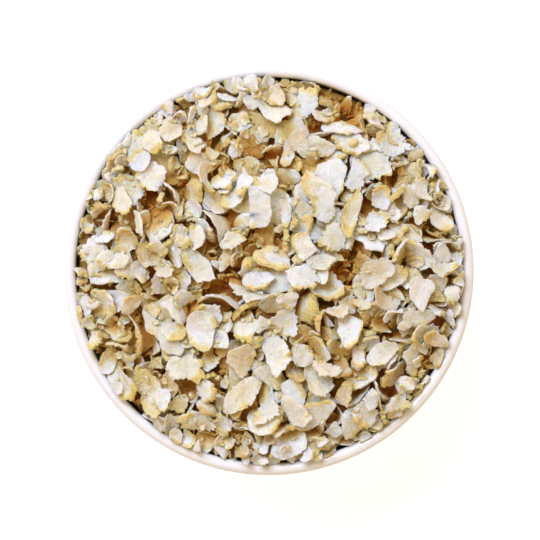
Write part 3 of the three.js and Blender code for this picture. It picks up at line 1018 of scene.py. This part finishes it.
# ---------------------------------------------------------------------------------------------------------
# Germ curls: lengths of the yellow germ that have come away from the rim, each a flattened and ragged thread
# that keeps the bend of the grain it was wound round.
CURL_COUNT = 55
CURL_CUTS = 7
CURL_SIDES = 6
CURL_LENGTHS = (0.9, 2.3)
CURL_WIDTHS = (0.14, 0.26)  # half of them
CURL_FLATNESS = 0.5
CURL_RADII = (0.9, 3.0)
CURL_TAPERS = (0.3, 1.0)
CURL_ROUGHNESS = 0.22
CURL_LIFT = 0.3
CURL_TRIES = 4
CURL_SLOPE = 0.4


def thread(cuts, sides):
    """A rod of unit radius and unit length along Z, with its faces laid out flat in a map."""
    form = bmesh.new()
    bmesh.ops.create_cone(form, cap_ends=True, segments=sides, radius1=1, radius2=1, depth=1)
    long_edges = [e for e in form.edges if abs(e.verts[0].co.z - e.verts[1].co.z) > 0.5]
    bmesh.ops.subdivide_edges(form, edges=long_edges, cuts=cuts, use_grid_fill=True)
    in_order(form)
    laid_out = form.loops.layers.uv.new("OFBake")
    for face in form.faces:
        upper = face.calc_center_median().y > 0
        for loop in face.loops:
            x, _, z = loop.vert.co
            loop[laid_out].uv = ((0.25 if upper else 0.75) + 0.2 * x, 0.5 + 0.85 * z)
    mesh, points = mesh_and_points("thread", form)
    return SimpleNamespace(mesh=mesh, across=points[:, 0], up=points[:, 1], along=points[:, 2])


wand = thread(CURL_CUTS, CURL_SIDES)
column = (CURL_COUNT, 1)
every_point = (CURL_COUNT, len(wand.along))
length = draw.uniform(*CURL_LENGTHS, column)
width = draw.uniform(*CURL_WIDTHS, column)
bend = length / draw.uniform(*CURL_RADII, column)
narrowed = (2 * wand.along) ** 2 * draw.uniform(*CURL_TAPERS, column)
tapered = np.sqrt(np.clip(1.05 - narrowed, 0.08, 1))
ragged = tapered * (1 + CURL_ROUGHNESS * draw.normal(0, 1, every_point))
turn = wand.along * bend
arc = length / bend
side = wand.across * width * ragged
x = (arc + side) * np.sin(turn)
y = (arc + side) * np.cos(turn) - arc * np.cos(bend / 3)
z = wand.up * width * CURL_FLATNESS * ragged
z = z + draw.uniform(-CURL_LIFT, CURL_LIFT, column) * (2 * wand.along) ** 2
points = laid(under, length[:, 0] * 0.4, np.stack([x, y, z], 2), CURL_SLOPE, CURL_TRIES)
germ_yellow = rolled_grain(
    "dried_germ",
    starch="#f0e7ca", cream="#e6d29c", germ="#eedca2", ochre="#d6b670", bran="#d6b67c", deep="#cc8630",
)
germ_curls = loose_piece(
    "germ_curls", [(wand, points, marks_of(points, 1.0, draw.rand(*column), 0.0))], germ_yellow,
)

# ---------------------------------------------------------------------------------------------------------
# Crumbs: starch and germ crushed by the rollers to sharp grains, most a third of a millimetre across and the
# largest nearly one, which have slipped down and gathered in the hollows.
CRUMB_COUNT = 380
CRUMB_LEAST = 0.1
CRUMB_MOST = 0.36
CRUMB_TRIES = 4
CRUMB_ROUGHNESS = 0.2
LUMP_OFF_WALL = 0.5
LUMP_LIFT = 0.35  # how far its middle stands over what it lies on, as a share of its radius
LUMP_STRETCH = (0.45, 1.25)  # each way
LUMP_GERM_SHARE = 0.4


def lump(finer):
    """A round lump of unit radius, with its faces laid out flat in a map."""
    form = bmesh.new()
    bmesh.ops.create_icosphere(form, subdivisions=finer, radius=1)
    laid_out = form.loops.layers.uv.new("OFBake")
    for face in form.faces:
        upper = face.calc_center_median().z > 0
        for loop in face.loops:
            x, y, _ = loop.vert.co
            loop[laid_out].uv = ((0.25 if upper else 0.75) + 0.2 * x, 0.5 + 0.4 * y)
    mesh, points = mesh_and_points("lump", form)
    return SimpleNamespace(mesh=mesh, points=points)


def scattered(under, count, least, most, pebble, tries, roughness):
    """Points and marks of that many lumps on the heap, each at the lowest of a few places tried."""
    radius = least + (most - least) * draw.rand(count, 1) ** 2
    at = np.empty((count, 3))
    for i in range(count):
        hits = [hit for hit in (under(*anywhere(LUMP_OFF_WALL)) for _ in range(tries)) if hit is not None]
        hit = min(hits, key=lambda h: float(above_bed(np.array(h[0]) / MM)))
        at[i] = (hit[0] + hit[1] * float(radius[i, 0]) * LUMP_LIFT * MM) / MM
    form = pebble.points * draw.uniform(*LUMP_STRETCH, (count, 1, 3))
    form = form * (1 + roughness * draw.normal(0, 1, (count, len(pebble.points), 1))) * radius[:, :, None]
    axes = np.linalg.qr(draw.normal(0, 1, (count, 3, 3)))[0]
    axes *= np.sign(np.linalg.det(axes))[:, None, None]
    points = np.einsum("nij,nvj->nvi", axes, form) + at[:, None, :]
    germ = (draw.rand(count, 1) < LUMP_GERM_SHARE) * draw.uniform(0.3, 1, (count, 1))
    return points, marks_of(points, germ, draw.rand(count, 1), 0.0)


under = look_down([*heap, broken_bits, germ_curls])
pebble = lump(2)
points, marks = scattered(under, CRUMB_COUNT, CRUMB_LEAST, CRUMB_MOST, pebble, CRUMB_TRIES, CRUMB_ROUGHNESS)
loose_piece("crumbs", [(pebble, points, marks)], crushed, smooth=False)

# ---------------------------------------------------------------------------------------------------------
# Flour: starch ground to white specks a tenth or two of a millimetre across as the flakes rub together,
# which cling to everything in the heap.
FLOUR_COUNT = 2400
FLOUR_LEAST = 0.04
FLOUR_MOST = 0.11
FLOUR_TRIES = 1
FLOUR_ROUGHNESS = 0.12
floury = rolled_grain(
    "starch_flour",
    starch="#f8f6f3", cream="#f2ecdf", germ="#eee0ba", ochre="#dcc28a", bran="#e6d5b6", deep="#dca262",
)
speck = lump(1)
points, marks = scattered(under, FLOUR_COUNT, FLOUR_LEAST, FLOUR_MOST, speck, FLOUR_TRIES, FLOUR_ROUGHNESS)
loose_piece("flour", [(speck, points, marks)], floury, smooth=False)
